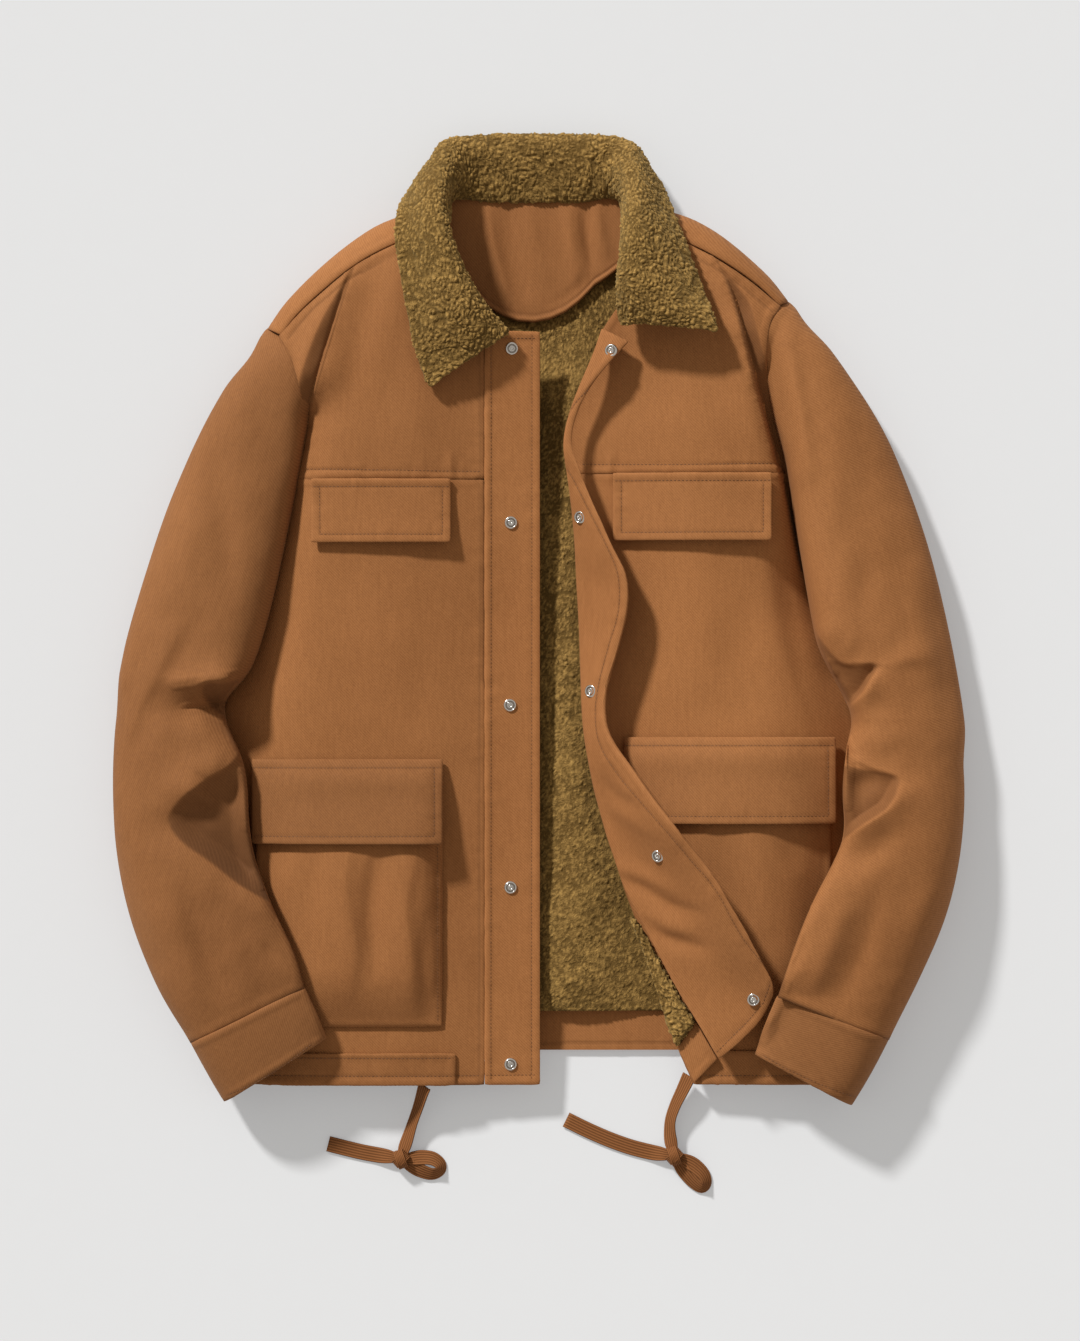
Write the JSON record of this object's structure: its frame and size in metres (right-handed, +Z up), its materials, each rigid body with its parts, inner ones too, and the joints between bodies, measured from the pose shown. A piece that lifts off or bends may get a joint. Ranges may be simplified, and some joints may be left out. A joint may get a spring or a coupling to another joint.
{
  "type": "sherpa_lined_jacket",
  "caption": "Caramel-brown twill work jacket with an olive sherpa collar and lining, laid flat on its back, left front over right with the right front's lower edge turned back.",
  "frame": {"origin": "On the floor under the middle of the jacket's bounding box, the ties left out.", "axes": "+X towards the jacket's right front as it is seen from above, +Y from the hem to the collar, +Z up from the surface it lies on."},
  "size_m": [0.6825, 0.849, 0.0855],
  "materials": {
    "shell_twill": "matte caramel-brown cotton twill",
    "inner_twill": "matte brown twill facing",
    "lining_sherpa": "matte olive sherpa pile",
    "collar_sherpa": "matte olive sherpa pile",
    "snap_metal": "bright plated metal",
    "tie_tape": "matte ribbed brown tape"
  },
  "bodies": {
    "root": {"back_shell": "shell_twill", "back_yoke": "shell_twill", "left_front_yoke": "shell_twill", "left_front": "shell_twill", "right_front_yoke": "shell_twill", "right_front": "shell_twill", "left_placket": "shell_twill", "left_chest_flap": "shell_twill", "left_pocket_bag": "shell_twill", "left_hem_casing": "shell_twill", "right_chest_flap": "shell_twill", "right_pocket_bag": "shell_twill", "right_hem_casing": "shell_twill", "left_pocket_flap": "shell_twill", "right_pocket_flap": "shell_twill", "left_sleeve": "shell_twill", "left_cuff": "shell_twill", "right_sleeve": "shell_twill", "right_cuff": "shell_twill", "back_hem_facing": "inner_twill", "neck_facing": "inner_twill", "right_facing": "inner_twill", "right_hem_facing": "inner_twill", "back_lining": "lining_sherpa", "right_front_lining": "lining_sherpa", "collar": "collar_sherpa", "snap_left_1": "snap_metal", "snap_left_2": "snap_metal", "snap_left_3": "snap_metal", "snap_left_4": "snap_metal", "snap_left_5": "snap_metal", "snap_right_1": "snap_metal", "snap_right_2": "snap_metal", "snap_right_3": "snap_metal", "snap_right_4": "snap_metal", "snap_right_5": "snap_metal", "tie_left_lead": "tie_tape", "tie_left_knot": "tie_tape", "tie_left_loop": "tie_tape", "tie_left_end": "tie_tape", "tie_right_lead": "tie_tape", "tie_right_knot": "tie_tape", "tie_right_loop": "tie_tape", "tie_right_end": "tie_tape"}
  },
  "joints": []
}
